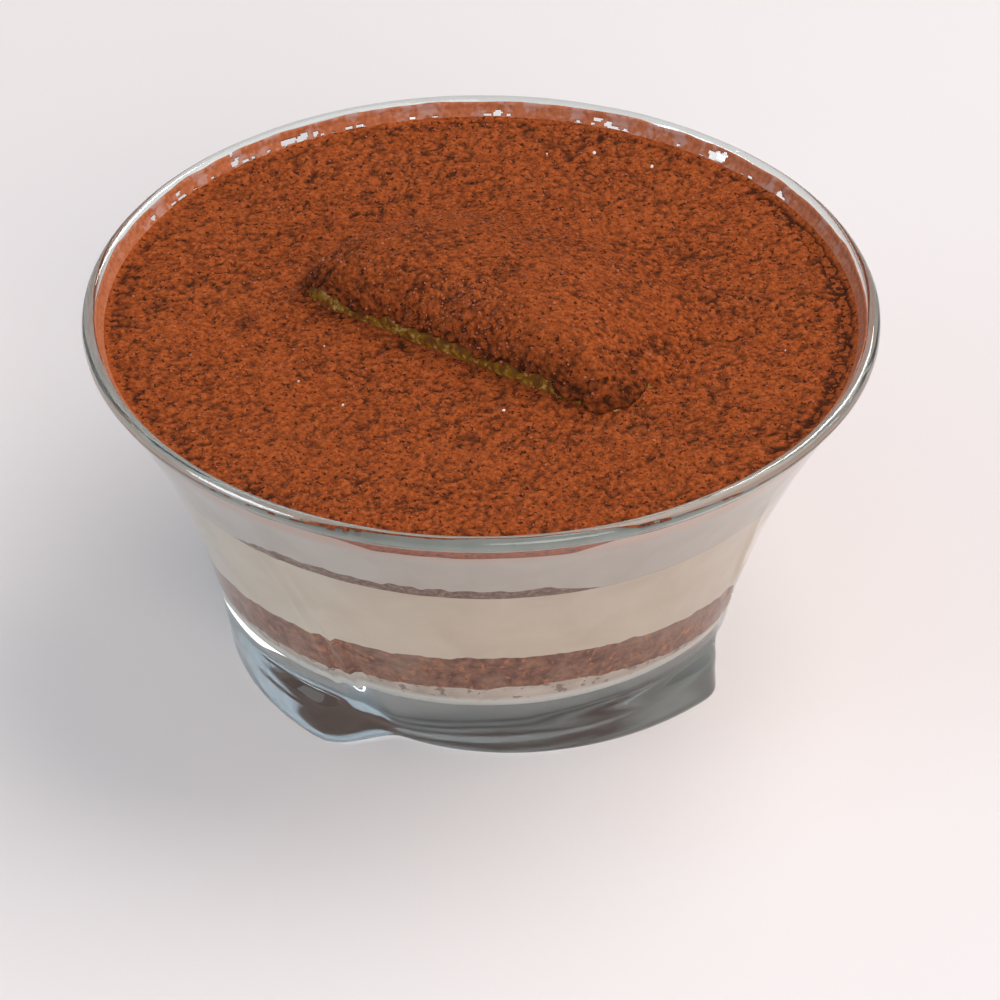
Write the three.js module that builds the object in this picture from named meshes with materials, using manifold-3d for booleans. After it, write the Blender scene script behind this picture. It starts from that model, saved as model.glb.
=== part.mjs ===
// A tiramisu in its clear pressed-glass dessert bowl, in millimetres, with +Z up.
// The bowl stands on z = 0 and the origin is the middle of its foot. The front of the
// bowl faces -Y. From the floor up it holds a film of cream, the soaked biscuit, the
// lower cream, a thin line of cocoa, the upper cream, and a coat of cocoa that also
// covers a spooned quenelle of cream.
import * as THREE from 'three';
import { mergeVertices } from 'three/addons/utils/BufferGeometryUtils.js';
import Module from 'manifold-3d';

// Glass bowl
const BOWL_HEIGHT = 55.5;
const RIM_RADIUS = 60;
const FOOT_RADIUS = 39;
const FLARE_CURVE = 13.8; // the share of the flare that grows with the square of the height
const LIP_THICKNESS = 2.3;
const WALL_AT_FLOOR = 4.2;
const FLOOR_LEVEL = 9.5;
const FLOOR_CORNER = 4;
const FOOT_EDGE = 1.6; // rounding of the foot's lower edge
const RECESS_RADIUS = 30;
const RECESS_DEPTH = 1;

// Swirl of the foot: four lobes that swell slowly, step back sharply and lean as they rise.
// What swells outwards ends at the top in a rounded shoulder.
const LOBES = 4;
const SWIRL_DEPTH = 3.3;
const SWIRL_OUTSET = 0.4; // how far the middle of a lobe's swell stands out
const SWIRL_TOP = 48; // the height where the swirl has faded out
const SWIRL_FADE = 2.6;
const SHOULDER = { low: 6.6, high: 9.4 }; // the heights where a shoulder starts and ends
const ABOVE_SHOULDER = 0.15; // the share of an outward swell that goes on above it
const SWELL_SHARE = 0.84; // the part of a lobe that swells, before its step
const SWELL_HOOK = 0.15; // how much of the swelling comes at the lobe's two ends
const STEP_ANGLE = -110; // degrees, where the front left lobe starts, just past its step
const LEAN = -0.2; // degrees of turn for each millimetre of height
const COLUMNS_ON_SWELL = 9;
const COLUMNS_ON_STEP = 5;

// Where the bowl's mesh has its rings: heights on the two walls, turns round the edges
const OUTER_RINGS = [1.6, 4, 6.6, 8, 9.4, 14, 18, 23, 29, 36, 43, 49];
const INNER_RINGS = [49, 42, 34, 26, 18];
const FOOT_EDGE_TURNS = [0, 35, 65];
const LIP_TURNS = [-25, 15, 52, 90, 128, 160];
const FLOOR_CORNER_TURNS = [0, 30, 60, 90];

// Contents, from the floor up
const GAP = 0.3; // between one solid and the next
const WALL_GAP = 0.4; // between the contents and the glass
const FILM_TOP = 13.2;
const BISCUIT_TOP = 20.4;
const LOWER_CREAM_TOP = 38.6;
const COCOA_LINE_TOP = 40.6;
const UPPER_CREAM_TOP = 51.2;
const COCOA_TOP = 53.1;
const FILL_SEGMENTS = 40;
const FILL_RINGS = [15, 30];
const FILL_BAND = 6; // greatest height of one band of a layer's wall
const RIPPLE = 0.2; // share of short waves in a layer's uneven boundary

// Quenelle, in its own directions: u along its straight front edge, v towards its back
const QUENELLE_CENTRE = new THREE.Vector2(1.7, -0.8);
const QUENELLE_TURN = -34; // degrees from +X to u
const HALF_LENGTH = 29.4;
const FRONT_REACH = 10.2;
const BACK_REACH = 31;
const FRONT_SQUARENESS = 7;
const BACK_SQUARENESS = 2.3;
const FRONT_FULLNESS = 4.5;
const BACK_FULLNESS = 2.4;
const FRONT_STEEPNESS = 0.62;
const BACK_STEEPNESS = 1.8;
const RIGHT_END_SLOPE = 0.45; // how far the right end slopes off like the back
const QUENELLE_TOP = 60.9;
const COAT = 0.8; // cocoa on the quenelle
const BARE_STRIP = { from: -28.2, to: 22, height: 1.5 };
const QUENELLE_SEGMENTS = 36;
const QUENELLE_RINGS = [1, 0.96, 0.86, 0.68, 0.45, 0.22];

const wasm = await Module();
wasm.setup();

const clamp = THREE.MathUtils.clamp;
const lerp = THREE.MathUtils.lerp;
const radians = THREE.MathUtils.degToRad;

// ---------------------------------------------------------------- solids

// Merges the shared vertices and drops the empty triangles at the axis.
function welded(geometry) {
  geometry.deleteAttribute('normal');
  geometry.deleteAttribute('uv');
  const merged = mergeVertices(geometry);
  const index = merged.index.array;
  const kept = [];
  for (let i = 0; i < index.length; i += 3) {
    const [a, b, c] = [index[i], index[i + 1], index[i + 2]];
    if (a !== b && b !== c && c !== a) kept.push(a, b, c);
  }
  merged.setIndex(kept);
  return merged;
}

// A solid turned about +Z from [radius, height] pairs that start and end on the axis.
function turned(profile, segments) {
  const points = profile.map(([radius, height]) => new THREE.Vector2(radius, height));
  const geometry = new THREE.LatheGeometry(points, segments);
  geometry.rotateX(Math.PI / 2);
  return welded(geometry);
}

// Moves every vertex of a geometry to the place that move(x, y, z) gives.
function reshaped(geometry, move) {
  const position = geometry.attributes.position;
  for (let i = 0; i < position.count; i++) {
    position.setXYZ(i, ...move(position.getX(i), position.getY(i), position.getZ(i)));
  }
  return geometry;
}

function toManifold(geometry) {
  const vertProperties = new Float32Array(geometry.attributes.position.array);
  const triVerts = new Uint32Array(geometry.index.array);
  return new wasm.Manifold(new wasm.Mesh({ numProp: 3, vertProperties, triVerts }));
}

function fromManifold(solid) {
  const { vertProperties, triVerts } = solid.getMesh();
  const geometry = new THREE.BufferGeometry();
  geometry.setAttribute('position', new THREE.BufferAttribute(vertProperties, 3));
  geometry.setIndex(new THREE.BufferAttribute(triVerts, 1));
  return geometry;
}

// ---------------------------------------------------------------- glass bowl

const LIP_RADIUS = LIP_THICKNESS / 2;
const FLARE_TOP = BOWL_HEIGHT - LIP_RADIUS;

// The outer wall without its swirl: nearly upright at the foot, flaring to the rim.
function flareRadius(z) {
  const t = z / FLARE_TOP;
  return FOOT_RADIUS + (RIM_RADIUS - FOOT_RADIUS - FLARE_CURVE) * t + FLARE_CURVE * t * t;
}

function innerWallRadius(z) {
  const t = (z - FLOOR_LEVEL) / (FLARE_TOP - FLOOR_LEVEL);
  return flareRadius(z) - lerp(WALL_AT_FLOOR, LIP_THICKNESS, t);
}

// The cavity with its rounded lower corner, drawn in by the clearance.
function cavityRadius(z, clearance) {
  const corner = FLOOR_CORNER - clearance;
  const drop = clamp(FLOOR_LEVEL + FLOOR_CORNER - z, 0, corner);
  return innerWallRadius(z) - FLOOR_CORNER + Math.sqrt(corner * corner - drop * drop);
}

// Outward offset of a lobe: it swells over most of its length, then steps back.
function lobeOffset(phase) {
  if (phase < SWELL_SHARE) {
    const rise = (2 * phase) / SWELL_SHARE - 1;
    return SWIRL_OUTSET + SWIRL_DEPTH * lerp(rise, rise ** 3, SWELL_HOOK);
  }
  const fall = (phase - SWELL_SHARE) / (1 - SWELL_SHARE);
  return SWIRL_OUTSET + SWIRL_DEPTH * Math.cos(Math.PI * fall);
}

// The share of a lobe's offset that is left at a height.
function lobeStrength(height, offset) {
  const fade = (1 - height / SWIRL_TOP) ** SWIRL_FADE;
  const above = THREE.MathUtils.smoothstep(height, SHOULDER.low, SHOULDER.high);
  return offset > 0 ? fade * lerp(1, ABOVE_SHOULDER, above) : fade;
}

// The bowl's mesh columns, one lobe after the other, with more of them on each step.
function columnPhases() {
  const phases = [];
  for (let i = 0; i < COLUMNS_ON_SWELL; i++) phases.push((SWELL_SHARE * i) / COLUMNS_ON_SWELL);
  for (let i = 0; i < COLUMNS_ON_STEP; i++) {
    phases.push(SWELL_SHARE + ((1 - SWELL_SHARE) * i) / COLUMNS_ON_STEP);
  }
  return phases;
}

function bowlProfile() {
  const profile = [[0, RECESS_DEPTH], [RECESS_RADIUS - 2, RECESS_DEPTH], [RECESS_RADIUS, 0]];
  for (const turn of FOOT_EDGE_TURNS) {
    const inset = FOOT_EDGE * (1 - Math.sin(radians(turn)));
    const height = FOOT_EDGE * (1 - Math.cos(radians(turn)));
    profile.push([flareRadius(height) - inset, height]);
  }
  for (const height of OUTER_RINGS) profile.push([flareRadius(height), height]);
  for (const turn of LIP_TURNS) {
    const radius = RIM_RADIUS - LIP_RADIUS + LIP_RADIUS * Math.cos(radians(turn));
    profile.push([radius, FLARE_TOP + LIP_RADIUS * Math.sin(radians(turn))]);
  }
  for (const height of INNER_RINGS) profile.push([cavityRadius(height, 0), height]);
  for (const turn of FLOOR_CORNER_TURNS) {
    const height = FLOOR_LEVEL + FLOOR_CORNER * (1 - Math.sin(radians(turn)));
    profile.push([cavityRadius(height, 0), height]);
  }
  profile.push([0, FLOOR_LEVEL]);
  return profile;
}

function glassBowl() {
  const phases = columnPhases();
  const columns = LOBES * phases.length;
  const bowl = turned(bowlProfile(), columns);
  return reshaped(bowl, (x, y, z) => {
    const radius = Math.hypot(x, y);
    const column = Math.round((Math.atan2(x, -y) / (2 * Math.PI)) * columns + columns) % columns;
    const phase = phases[column % phases.length];
    const lobe = Math.floor(column / phases.length);
    const outside = radius > cavityRadius(z, 0) + 1 && radius > RECESS_RADIUS + 1;
    const height = outside ? Math.min(z, SWIRL_TOP) : SWIRL_TOP;
    const offset = lobeOffset(phase);
    const angle = radians(STEP_ANGLE + LEAN * height + ((lobe + phase) * 360) / LOBES);
    const swirled = radius + (outside ? lobeStrength(height, offset) * offset : 0);
    return [swirled * Math.cos(angle), swirled * Math.sin(angle), z];
  });
}

// ---------------------------------------------------------------- layers in the bowl

// How far a layer's boundary rises or dips there: flat in the middle, uneven at the glass.
function unevenness(x, y, { rise, start }) {
  const angle = Math.atan2(y, x);
  const reach = (Math.hypot(x, y) / innerWallRadius(BISCUIT_TOP)) ** 2;
  return rise * reach * lerp(Math.sin(2 * angle + start), Math.sin(5 * angle - start), RIPPLE);
}

const FRONT_AND_BACK = -Math.PI / 2; // the boundary is highest there and lowest at the sides
const FLOOR = { level: FLOOR_LEVEL + WALL_GAP - GAP / 2, rise: 0, start: 0 };
const ON_FILM = { level: FILM_TOP, rise: 1.7, start: FRONT_AND_BACK };
const ON_BISCUIT = { level: BISCUIT_TOP, rise: 2, start: FRONT_AND_BACK };
const ON_LOWER_CREAM = { level: LOWER_CREAM_TOP, rise: 0.4, start: 0.4 };
const ON_COCOA_LINE = { level: COCOA_LINE_TOP, rise: 0.4, start: 0.4 };
const ON_UPPER_CREAM = { level: UPPER_CREAM_TOP, rise: 0.3, start: 4.1 };
const SURFACE = { level: COCOA_TOP + GAP / 2, rise: 0, start: 0 };

// One layer, from wall to wall, between two boundaries.
function layer(under, over) {
  const bottom = under.level + GAP / 2;
  const top = over.level - GAP / 2;
  const bands = Math.ceil((top - bottom) / FILL_BAND);
  const profile = [0, ...FILL_RINGS].map((radius) => [radius, bottom]);
  for (let i = 0; i <= bands; i++) {
    const height = lerp(bottom, top, i / bands);
    profile.push([cavityRadius(height, WALL_GAP), height]);
  }
  profile.push(...[...FILL_RINGS].reverse().map((radius) => [radius, top]), [0, top]);
  const inside = FILL_RINGS[FILL_RINGS.length - 1];
  return reshaped(turned(profile, FILL_SEGMENTS), (x, y, z) => {
    const share = (z - bottom) / (top - bottom);
    const height = z + lerp(unevenness(x, y, under), unevenness(x, y, over), share);
    const radius = Math.hypot(x, y);
    const seat = radius > inside + 1 ? cavityRadius(height, WALL_GAP) / radius : 1;
    return [x * seat, y * seat, height];
  });
}

// ---------------------------------------------------------------- quenelle and its cocoa

// Distance from the quenelle's middle to its edge: squarish in front, rounder behind.
function quenelleReach(angle, grown) {
  const front = Math.sin(angle) < 0;
  const power = front ? FRONT_SQUARENESS : BACK_SQUARENESS;
  const along = Math.abs(Math.cos(angle)) / (HALF_LENGTH + grown);
  const across = Math.abs(Math.sin(angle)) / ((front ? FRONT_REACH : BACK_REACH) + grown);
  return (along ** power + across ** power) ** (-1 / power);
}

// Share of the full height at a share of the reach: steep in front, sloping off behind
// and less so at the right end.
function quenelleRise(share, angle) {
  const rightwards = RIGHT_END_SLOPE * Math.max(0, Math.cos(angle)) ** 3;
  const behind = clamp(Math.sin(angle) + rightwards, 0, 1);
  const fullness = lerp(FRONT_FULLNESS, BACK_FULLNESS, behind);
  const steepness = lerp(FRONT_STEEPNESS, BACK_STEEPNESS, behind);
  return Math.max(0, 1 - share ** fullness) ** steepness;
}

// The quenelle's solid, grown all round, from a flat underside.
function quenelle(underside, grown) {
  const profile = [[0, 0], [1, 0], ...QUENELLE_RINGS.map((share) => [share, 1]), [0, 1]];
  const solid = turned(profile, QUENELLE_SEGMENTS);
  reshaped(solid, (x, y, z) => {
    const share = Math.hypot(x, y);
    const angle = Math.atan2(y, x);
    const reach = share * quenelleReach(angle, grown);
    const edge = COCOA_TOP - COAT;
    const overhead = lerp(edge, QUENELLE_TOP, quenelleRise(share, angle)) + grown;
    const height = z > 0.5 ? overhead : underside;
    return [reach * Math.cos(angle), reach * Math.sin(angle), height];
  });
  return solid.rotateZ(radians(QUENELLE_TURN)).translate(QUENELLE_CENTRE.x, QUENELLE_CENTRE.y, 0);
}

// The strip along the quenelle's front foot that the falling cocoa doesn't reach.
function bareStrip() {
  const length = BARE_STRIP.to - BARE_STRIP.from;
  const strip = new THREE.BoxGeometry(length, FRONT_REACH, BARE_STRIP.height);
  const middle = (BARE_STRIP.from + BARE_STRIP.to) / 2;
  strip.translate(middle, -FRONT_REACH, COCOA_TOP + BARE_STRIP.height / 2 + 0.05);
  strip.rotateZ(radians(QUENELLE_TURN)).translate(QUENELLE_CENTRE.x, QUENELLE_CENTRE.y, 0);
  return welded(strip);
}

// Cocoa over the whole surface and over the quenelle, which stands through it.
function cocoaDusting() {
  const surface = toManifold(layer(ON_UPPER_CREAM, SURFACE));
  const overQuenelle = toManifold(quenelle(COCOA_TOP - COAT, COAT + GAP));
  const roomForQuenelle = toManifold(quenelle(UPPER_CREAM_TOP - 2, GAP));
  const coat = surface.add(overQuenelle).subtract(roomForQuenelle);
  return fromManifold(coat.subtract(toManifold(bareStrip())));
}

// ---------------------------------------------------------------- materials and assembly

const clearGlass = () => new THREE.MeshStandardMaterial({
  color: 0xc9d4d3, roughness: 0.05, metalness: 0, transparent: true, opacity: 0.35,
});
const cream = () => new THREE.MeshStandardMaterial({ color: 0xe0cfba, roughness: 0.6, metalness: 0 });
const soakedBiscuit = () => new THREE.MeshStandardMaterial({
  color: 0x7c5140, roughness: 0.75, metalness: 0,
});
const cocoa = () => new THREE.MeshStandardMaterial({ color: 0x94502c, roughness: 0.95, metalness: 0 });

function piece(name, geometry, material) {
  const mesh = new THREE.Mesh(geometry, material);
  mesh.name = name;
  return mesh;
}

const tiramisu = new THREE.Group();
tiramisu.add(
  piece('glass_bowl', glassBowl(), clearGlass()),
  piece('bottom_cream', layer(FLOOR, ON_FILM), cream()),
  piece('soaked_biscuit', layer(ON_FILM, ON_BISCUIT), soakedBiscuit()),
  piece('lower_cream', layer(ON_BISCUIT, ON_LOWER_CREAM), cream()),
  piece('cocoa_line', layer(ON_LOWER_CREAM, ON_COCOA_LINE), cocoa()),
  piece('upper_cream', layer(ON_COCOA_LINE, ON_UPPER_CREAM), cream()),
  piece('cream_quenelle', quenelle(UPPER_CREAM_TOP + GAP / 2, 0), cream()),
  piece('cocoa_dusting', cocoaDusting(), cocoa()),
);

export default tiramisu;
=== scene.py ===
import math

import bpy
import numpy as np
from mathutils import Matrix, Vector


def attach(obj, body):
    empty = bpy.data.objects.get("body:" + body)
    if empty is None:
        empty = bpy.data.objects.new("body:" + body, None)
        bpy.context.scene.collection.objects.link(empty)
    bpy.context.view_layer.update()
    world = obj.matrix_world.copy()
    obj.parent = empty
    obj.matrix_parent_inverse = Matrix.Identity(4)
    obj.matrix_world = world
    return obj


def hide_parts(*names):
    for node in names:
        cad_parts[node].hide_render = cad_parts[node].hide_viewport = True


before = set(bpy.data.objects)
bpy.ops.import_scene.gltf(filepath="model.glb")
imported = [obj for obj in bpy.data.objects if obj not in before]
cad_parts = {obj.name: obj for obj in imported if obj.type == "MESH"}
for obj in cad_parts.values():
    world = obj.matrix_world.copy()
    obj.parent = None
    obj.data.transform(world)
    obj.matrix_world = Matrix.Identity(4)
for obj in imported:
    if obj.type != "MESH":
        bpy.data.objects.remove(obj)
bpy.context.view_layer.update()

# ---------------------------------------------------------------- glass bowl
# One piece of clear glass, pressed in a mould: a thick floor on a foot with four swirled
# lobes, and a wall that thins as it flares to a rounded, fire-polished lip. Lengths here
# and below are in millimetres; each mesh is scaled to metres as it is made.

BOWL_HEIGHT = 55.5
RIM_RADIUS = 60
FOOT_RADIUS = 39
FLARE_CURVE = 13.8
LIP_RADIUS = 1.15
LIP_WALL = 2.3
FLOOR_WALL = 4.2
FLOOR_LEVEL = 9.5
FLOOR_CORNER = 4
FOOT_EDGE = 1.6
RECESS_RADIUS = 30
RECESS_DEPTH = 1
LOBES = 4
SWIRL_DEPTH = 3.3
SWIRL_OUTSET = 0.4
SWIRL_TOP = 48
SWIRL_FADE = 2.6
SHOULDER_LOW = 6.6
SHOULDER_HIGH = 9.4
ABOVE_SHOULDER = 0.15
SWELL_SHARE = 0.84
SWELL_HOOK = 0.15
STEP_ANGLE = -110
LEAN = -0.2
SEAM_WIDTH = 0.9
SEAM_LEAN = 0.33
SEAM_LEVEL = 20
RIPPLE_DEPTH = 0.06
BOWL_COLUMNS = 384
FLARE_TOP = BOWL_HEIGHT - LIP_RADIUS
WALL_TOP = FLARE_TOP - 0.6

# Turn in degrees, at SEAM_LEVEL, and depth of each fine ridge that the mould left
MOULD_SEAMS = ((-119.2, 0.75), (-123.6, 0.35), (-29.2, 0.6), (60.8, 0.6), (150.8, 0.6))


def flare_radius(z):
    t = z / FLARE_TOP
    return FOOT_RADIUS + (RIM_RADIUS - FOOT_RADIUS - FLARE_CURVE) * t + FLARE_CURVE * t * t


def wall_radius(z):
    t = (z - FLOOR_LEVEL) / (FLARE_TOP - FLOOR_LEVEL)
    return flare_radius(z) - (FLOOR_WALL + (LIP_WALL - FLOOR_WALL) * t)


def cavity_radius(z, into_glass=0.0):
    """Radius of the cavity with its rounded lower corner, plus a reach into the glass."""
    corner = FLOOR_CORNER + into_glass
    drop = np.clip(FLOOR_LEVEL + FLOOR_CORNER - z, 0, corner)
    return wall_radius(z) - FLOOR_CORNER + np.sqrt(corner * corner - drop * drop)


def lobe_offset(phase):
    """Outward offset along one lobe: a slow swell, then a quick step back."""
    rise = 2 * phase / SWELL_SHARE - 1
    swell = rise + (rise ** 3 - rise) * SWELL_HOOK
    fall = np.cos(np.pi * (phase - SWELL_SHARE) / (1 - SWELL_SHARE))
    return SWIRL_OUTSET + SWIRL_DEPTH * np.where(phase < SWELL_SHARE, swell, fall)


def uneven(x, y, z, size, seed):
    """Smooth random values from -1 to 1 at these points, with lumps of about that size."""
    lattice = np.random.default_rng(seed).uniform(-1, 1, (32, 32, 32))
    places = [np.asarray(v, float) / size for v in np.broadcast_arrays(x, y, z)]
    cells = [np.floor(p).astype(int) for p in places]
    eased = [(p - c) ** 2 * (3 - 2 * (p - c)) for p, c in zip(places, cells)]
    total = 0
    for corner in np.ndindex(2, 2, 2):
        weight = 1
        for share, step in zip(eased, corner):
            weight = weight * (share if step else 1 - share)
        total = total + weight * lattice[tuple((c + s) % 32 for c, s in zip(cells, corner))]
    return total


def ring_points(radius, turn, height):
    """Points round the bowl's axis, at these radii, turns and heights."""
    return np.stack([radius * np.cos(turn), radius * np.sin(turn), height], axis=-1)


def make_piece(name, points, faces, material, smooth=True):
    """A mesh object from points in millimetres; it rides on the bowl's one body."""
    mesh = bpy.data.meshes.new(name)
    mesh.from_pydata((np.asarray(points, float) * 0.001).tolist(), [], faces)
    mesh.materials.append(material)
    mesh.update()
    if smooth:
        mesh.shade_smooth()
    piece = bpy.data.objects.new(name, mesh)
    bpy.context.scene.collection.objects.link(piece)
    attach(piece, "root")
    return piece


def turned_faces(rings, columns):
    """Faces of a closed turned form: a point on the axis, rings, and a last point."""
    faces = []
    for i in range(columns):
        j = (i + 1) % columns
        faces.append((0, 1 + j, 1 + i))
        for ring in range(rings - 1):
            low = 1 + ring * columns
            high = low + columns
            faces.append((low + i, low + j, high + j, high + i))
        last = 1 + (rings - 1) * columns
        faces.append((last + i, last + j, 1 + rings * columns))
    return faces


def new_finish(name, roughness):
    """An empty node material: its tree, its main shader and the object coordinates."""
    finish = bpy.data.materials.new(name)
    finish.use_nodes = True
    tree = finish.node_tree
    shader = tree.nodes["Principled BSDF"]
    shader.inputs["Roughness"].default_value = roughness
    where = tree.nodes.new("ShaderNodeTexCoord").outputs["Object"]
    return finish, tree, shader, where


def axes_node(tree, where):
    """The outputs X, Y and Z of each point, in metres."""
    node = tree.nodes.new("ShaderNodeSeparateXYZ")
    tree.links.new(where, node.inputs[0])
    return node.outputs


def noise_node(tree, where, size, detail=3.0, roughness=0.5, distortion=0.0):
    """Noise whose lumps are about that many millimetres."""
    node = tree.nodes.new("ShaderNodeTexNoise")
    node.inputs["Scale"].default_value = 1000 / size
    node.inputs["Detail"].default_value = detail
    node.inputs["Roughness"].default_value = roughness
    node.inputs["Distortion"].default_value = distortion
    tree.links.new(where, node.inputs["Vector"])
    return node.outputs["Fac"]


def ramp_node(tree, value, stops):
    """Colours picked by a value, from (place, colour) stops."""
    node = tree.nodes.new("ShaderNodeValToRGB")
    ramp = node.color_ramp
    while len(ramp.elements) < len(stops):
        ramp.elements.new(0.5)
    for element, (place, colour) in zip(ramp.elements, stops):
        element.position = place
        element.color = (*colour, 1)
    tree.links.new(value, node.inputs["Fac"])
    return node.outputs["Color"]


def range_node(tree, value, from_low, from_high, to_low, to_high):
    """A value carried from one range over to another, and held at its ends."""
    node = tree.nodes.new("ShaderNodeMapRange")
    for socket, number in zip(node.inputs[1:5], (from_low, from_high, to_low, to_high)):
        socket.default_value = number
    tree.links.new(value, node.inputs["Value"])
    return node.outputs["Result"]


def feed(tree, given, socket):
    """Puts another node's output, a plain colour or a plain number into a socket."""
    if isinstance(given, bpy.types.NodeSocket):
        tree.links.new(given, socket)
    elif isinstance(given, tuple):
        socket.default_value = (*given, 1)
    else:
        socket.default_value = given


def mix_node(tree, share, one, other):
    """Mixes two colours, each another node's output or a plain colour."""
    node = tree.nodes.new("ShaderNodeMix")
    node.data_type = "RGBA"
    feed(tree, share, node.inputs[0])
    feed(tree, one, node.inputs[6])
    feed(tree, other, node.inputs[7])
    return node.outputs[2]


def math_node(tree, operation, *given):
    """A sum or product of other nodes' outputs and plain numbers."""
    node = tree.nodes.new("ShaderNodeMath")
    node.operation = operation
    for value, socket in zip(given, node.inputs):
        feed(tree, value, socket)
    return node.outputs[0]


def vary_roughness(tree, shader, value, low, high):
    """Roughness that follows a noise, from its low places to its high ones."""
    tree.links.new(range_node(tree, value, 0.3, 0.7, low, high), shader.inputs["Roughness"])


def add_bump(tree, shader, height, strength, depth):
    """Fine relief of that depth in millimetres."""
    node = tree.nodes.new("ShaderNodeBump")
    node.inputs["Strength"].default_value = strength
    node.inputs["Distance"].default_value = depth * 0.001
    tree.links.new(height, node.inputs["Height"])
    tree.links.new(node.outputs["Normal"], shader.inputs["Normal"])


clear_glass, tree, shader, where = new_finish("clear_pressed_glass", 0.03)
shader.inputs["Transmission Weight"].default_value = 1.0
shader.inputs["IOR"].default_value = 1.5
smears = noise_node(tree, where, 14, detail=4)
tint = ramp_node(tree, smears, [(0.3, (0.91, 0.955, 0.945)), (0.7, (0.96, 0.98, 0.975))])
axes = axes_node(tree, where)
thick_lip = range_node(tree, axes["Z"], 0.0541, 0.0546, 0, 0.8)
tint = mix_node(tree, thick_lip, tint, (0.66, 0.76, 0.72))
thick_foot = range_node(tree, axes["Z"], 0.0105, 0.0085, 0, 0.6)
tint = mix_node(tree, thick_foot, tint, (0.70, 0.80, 0.80))
tree.links.new(tint, shader.inputs["Base Color"])
tree.links.new(range_node(tree, smears, 0.45, 0.75, 0.0, 0.02), shader.inputs["Roughness"])
add_bump(tree, shader, noise_node(tree, where, 7, detail=0), 0.12, 0.10)

bowl_profile = [(RECESS_RADIUS * 0.5, RECESS_DEPTH), (RECESS_RADIUS - 2, RECESS_DEPTH)]
bowl_profile += [(RECESS_RADIUS - 1, RECESS_DEPTH / 2), (RECESS_RADIUS, 0)]
for turn in np.radians(np.linspace(0, 90, 8)):
    foot_height = FOOT_EDGE * (1 - math.cos(turn))
    foot_inset = FOOT_EDGE * (1 - math.sin(turn))
    bowl_profile.append((flare_radius(foot_height) - foot_inset, foot_height))
for height in np.linspace(FOOT_EDGE, WALL_TOP, 62)[1:]:
    bowl_profile.append((flare_radius(height), height))
for turn in np.radians(np.linspace(-20, 165, 15)):
    lip_radius = RIM_RADIUS - LIP_RADIUS + LIP_RADIUS * math.cos(turn)
    bowl_profile.append((lip_radius, FLARE_TOP + LIP_RADIUS * math.sin(turn)))
outer_rows = len(bowl_profile)
for height in np.linspace(WALL_TOP, FLOOR_LEVEL + FLOOR_CORNER, 30):
    bowl_profile.append((float(cavity_radius(height)), height))
for turn in np.radians(np.linspace(0, 90, 9))[1:]:
    height = FLOOR_LEVEL + FLOOR_CORNER * (1 - math.sin(turn))
    bowl_profile.append((float(cavity_radius(height)), height))
bowl_profile += [(25, FLOOR_LEVEL), (12, FLOOR_LEVEL)]

profile = np.array(bowl_profile)
column = np.arange(BOWL_COLUMNS)
row_outside = np.arange(len(profile)) < outer_rows
row_swirls = row_outside & (profile[:, 0] > RECESS_RADIUS + 1)
height = np.where(row_swirls, np.minimum(profile[:, 1], SWIRL_TOP), SWIRL_TOP)[:, None]
angle = np.radians(STEP_ANGLE + LEAN * height + column * 360 / BOWL_COLUMNS)
offset = lobe_offset((column * LOBES / BOWL_COLUMNS) % 1)
for smoothing in range(5):
    offset = (np.roll(offset, 1) + 2 * offset + np.roll(offset, -1)) / 4
above = np.clip((height - SHOULDER_LOW) / (SHOULDER_HIGH - SHOULDER_LOW), 0, 1)
above = above * above * (3 - 2 * above)
swell_left = np.where(offset > 0, 1 + (ABOVE_SHOULDER - 1) * above, 1)
radius = profile[:, :1] + (1 - height / SWIRL_TOP) ** SWIRL_FADE * swell_left * offset
level = profile[:, 1:] * np.ones(BOWL_COLUMNS)
ripple = uneven(radius * np.cos(angle), radius * np.sin(angle), level * 1.5, 6, 3)
relief = RIPPLE_DEPTH * ripple * np.clip(level, 0, 1)
seam_fade = np.clip((46 - level) / 20, 0, 1) * np.clip((level - 10) / 4, 0, 1)
for seam_turn, seam_depth in MOULD_SEAMS:
    away = np.degrees(angle) - seam_turn + SEAM_LEAN * (level - SEAM_LEVEL)
    away = (away + 180) % 360 - 180
    relief = relief + seam_depth * np.exp(-((away / SEAM_WIDTH) ** 2)) * seam_fade
radius = radius + np.where(row_swirls[:, None], relief, 0)
rings = ring_points(radius, angle, level)
points = np.concatenate([[[0, 0, RECESS_DEPTH]], rings.reshape(-1, 3), [[0, 0, FLOOR_LEVEL]]])
bowl = make_piece("bowl", points, turned_faces(len(rings), BOWL_COLUMNS), clear_glass)
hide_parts("glass_bowl")
bowl.visible_shadow = False

# ---------------------------------------------------------------- cream under the biscuit
# A thin film of mascarpone cream, spread on the glass floor before the biscuit goes in. It
# fills the rounded corner, so it shows as a pale band with darker flecks of soaked crumb,
# and a painted highlight line along the corner.
# Coffee has seeped under it in places, and the glass foot shows those dark pools, with
# painted reflection streaks and a blue-white painted highlight mixed into them on the underside.

CREAM_FILM_LEVEL = 13.2
FILL_COLUMNS = 720
INTO_GLASS = 0.15  # each layer reaches this far into the glass, so no air gap shows
INNER_SHARES = (0.3, 0.6, 0.85)
fill_turn = np.linspace(-math.pi, math.pi, FILL_COLUMNS, endpoint=False)
fill_across = 45 * np.cos(fill_turn)
fill_along = 45 * np.sin(fill_turn)


def boundary(rise, start, ragged, size, seed):
    """Offset of a layer's boundary round the glass: long waves and a ragged edge."""
    wave = 0.8 * np.sin(2 * fill_turn + start) + 0.2 * np.sin(5 * fill_turn - start)
    edge = uneven(fill_across, fill_along, 0, size, seed)
    edge = edge + 0.5 * uneven(fill_across, fill_along, 9, size / 2.5, seed + 1)
    return rise * wave + ragged * edge


def inner_ring(level, share):
    """A ring inside a layer, at that share of the way out, flatter towards the middle."""
    height = np.mean(level) + (level - np.mean(level)) * share ** 2
    return ring_points(cavity_radius(level, INTO_GLASS) * share, fill_turn, height)


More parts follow.
